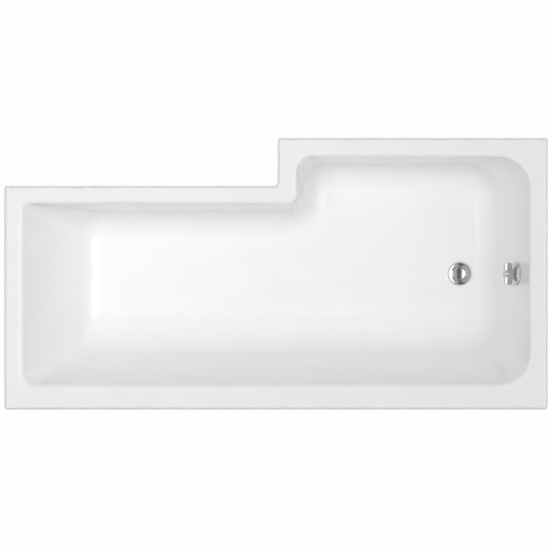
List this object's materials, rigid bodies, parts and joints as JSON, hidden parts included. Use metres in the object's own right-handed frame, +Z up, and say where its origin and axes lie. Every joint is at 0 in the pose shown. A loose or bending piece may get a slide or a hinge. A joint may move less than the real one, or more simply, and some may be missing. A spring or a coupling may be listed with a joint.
{
  "type": "l-shaped bath",
  "caption": "L-shaped acrylic shower bath with a narrow bathing end, a wider showering end, adjustable feet, a rotary pop-up waste and an overflow.",
  "frame": {"origin": "on the floor, under the middle of the overall rectangle of the rim", "axes": "+X toward the waste end, +Y toward the side where the wide showering part stands out, +Z up"},
  "size_m": [1.7, 0.85, 0.54],
  "materials": {
    "white_acrylic": "vacuum-formed gloss acrylic",
    "glass_fibre": "sprayed glass-fibre and resin, rough",
    "chipboard": "raw chipboard",
    "softwood": "sawn softwood",
    "galvanised_steel": "galvanised",
    "zinc_steel": "zinc plated",
    "stainless_steel": "turned",
    "foot_plastic": "moulded nylon",
    "chrome_plate": "polished chrome plate",
    "moulded_plastic": "moulded polypropylene",
    "seal_rubber": "moulded",
    "hose_plastic": "corrugated",
    "cable_plastic": "extruded",
    "brass": "turned"
  },
  "bodies": {
    "bath": {"acrylic_shell": "white_acrylic", "back_batten": "softwood", "back_bracket_head": "galvanised_steel", "back_bracket_waste": "galvanised_steel", "base_board": "chipboard", "body_seal": "seal_rubber", "bracket_screws": "zinc_steel", "control_cable": "cable_plastic", "fibre_backing": "glass_fibre", "flange_screws": "stainless_steel", "flange_seal": "seal_rubber", "front_batten": "softwood", "head_batten": "softwood", "head_bracket": "galvanised_steel", "head_rail": "galvanised_steel", "leg_nuts": "zinc_steel", "leg_socket": "galvanised_steel", "lower_hose_nut": "moulded_plastic", "middle_rail": "galvanised_steel", "overflow_body": "moulded_plastic", "overflow_gasket": "seal_rubber", "overflow_hose": "hose_plastic", "overflow_rosette": "chrome_plate", "rail_screws": "zinc_steel", "step_batten": "softwood", "upper_hose_nut": "moulded_plastic", "waste_batten": "softwood", "waste_body": "moulded_plastic", "waste_bracket": "galvanised_steel", "waste_flange": "chrome_plate", "waste_rail": "galvanised_steel", "wide_batten": "softwood"},
    "leg_1": {"leg_pad_1": "foot_plastic", "leg_stud_1": "zinc_steel"},
    "leg_2": {"leg_pad_2": "foot_plastic", "leg_stud_2": "zinc_steel"},
    "leg_3": {"leg_pad_3": "foot_plastic", "leg_stud_3": "zinc_steel"},
    "leg_4": {"leg_pad_4": "foot_plastic", "leg_stud_4": "zinc_steel"},
    "leg_5": {"leg_pad_5": "foot_plastic", "leg_stud_5": "zinc_steel"},
    "leg_6": {"leg_pad_6": "foot_plastic", "leg_stud_6": "zinc_steel"},
    "leg_7": {"leg_pad_7": "foot_plastic", "leg_stud_7": "zinc_steel"},
    "handle": {"rotary_handle": "chrome_plate", "handle_set_screw": "stainless_steel", "overflow_spindle": "brass"},
    "lever": {"lift_lever": "brass", "lever_crank": "brass"},
    "core": {"cable_core": "stainless_steel"},
    "pin": {"lift_pin": "brass"},
    "plug": {"plug": "chrome_plate", "plug_ring": "seal_rubber"}
  },
  "joints": [
    {"name": "leg_1_height", "type": "slide", "parent": "bath", "child": "leg_1", "axis": [0, 0, -1], "range_m": [-0.012, 0.03]},
    {"name": "leg_2_height", "type": "slide", "parent": "bath", "child": "leg_2", "axis": [0, 0, -1], "range_m": [-0.012, 0.03]},
    {"name": "leg_3_height", "type": "slide", "parent": "bath", "child": "leg_3", "axis": [0, 0, -1], "range_m": [-0.012, 0.03]},
    {"name": "leg_4_height", "type": "slide", "parent": "bath", "child": "leg_4", "axis": [0, 0, -1], "range_m": [-0.012, 0.03]},
    {"name": "leg_5_height", "type": "slide", "parent": "bath", "child": "leg_5", "axis": [0, 0, -1], "range_m": [-0.012, 0.03]},
    {"name": "leg_6_height", "type": "slide", "parent": "bath", "child": "leg_6", "axis": [0, 0, -1], "range_m": [-0.012, 0.03]},
    {"name": "leg_7_height", "type": "slide", "parent": "bath", "child": "leg_7", "axis": [0, 0, -1], "range_m": [-0.012, 0.03]},
    {"name": "handle_turn", "type": "hinge", "parent": "bath", "child": "handle", "pos_m": [0.75611, 0, 0.412], "axis": [-0.9568, 0, 0.2907], "range_deg": [0, 100]},
    {"name": "lever_swing", "type": "hinge", "parent": "bath", "child": "lever", "pos_m": [0.565, 0, 0.1005], "axis": [0, -1, 0], "range_deg": [0, 35]},
    {"name": "core_pull", "type": "slide", "parent": "bath", "child": "core", "axis": [1, 0, 0], "range_m": [0, 0.00843]},
    {"name": "pin_lift", "type": "slide", "parent": "bath", "child": "pin", "axis": [0, 0, 1], "range_m": [0, 0.00843]},
    {"name": "plug_lift", "type": "slide", "parent": "bath", "child": "plug", "axis": [0, 0, 1], "range_m": [0, 0.00843]}
  ],
  "couplings": [
    {"joint": "lever_swing", "follows": "handle_turn", "ratio": 0.35},
    {"joint": "core_pull", "follows": "handle_turn", "m_per_rad": 0.0048242},
    {"joint": "pin_lift", "follows": "handle_turn", "m_per_rad": 0.0048242},
    {"joint": "plug_lift", "follows": "handle_turn", "m_per_rad": 0.0048242}
  ]
}
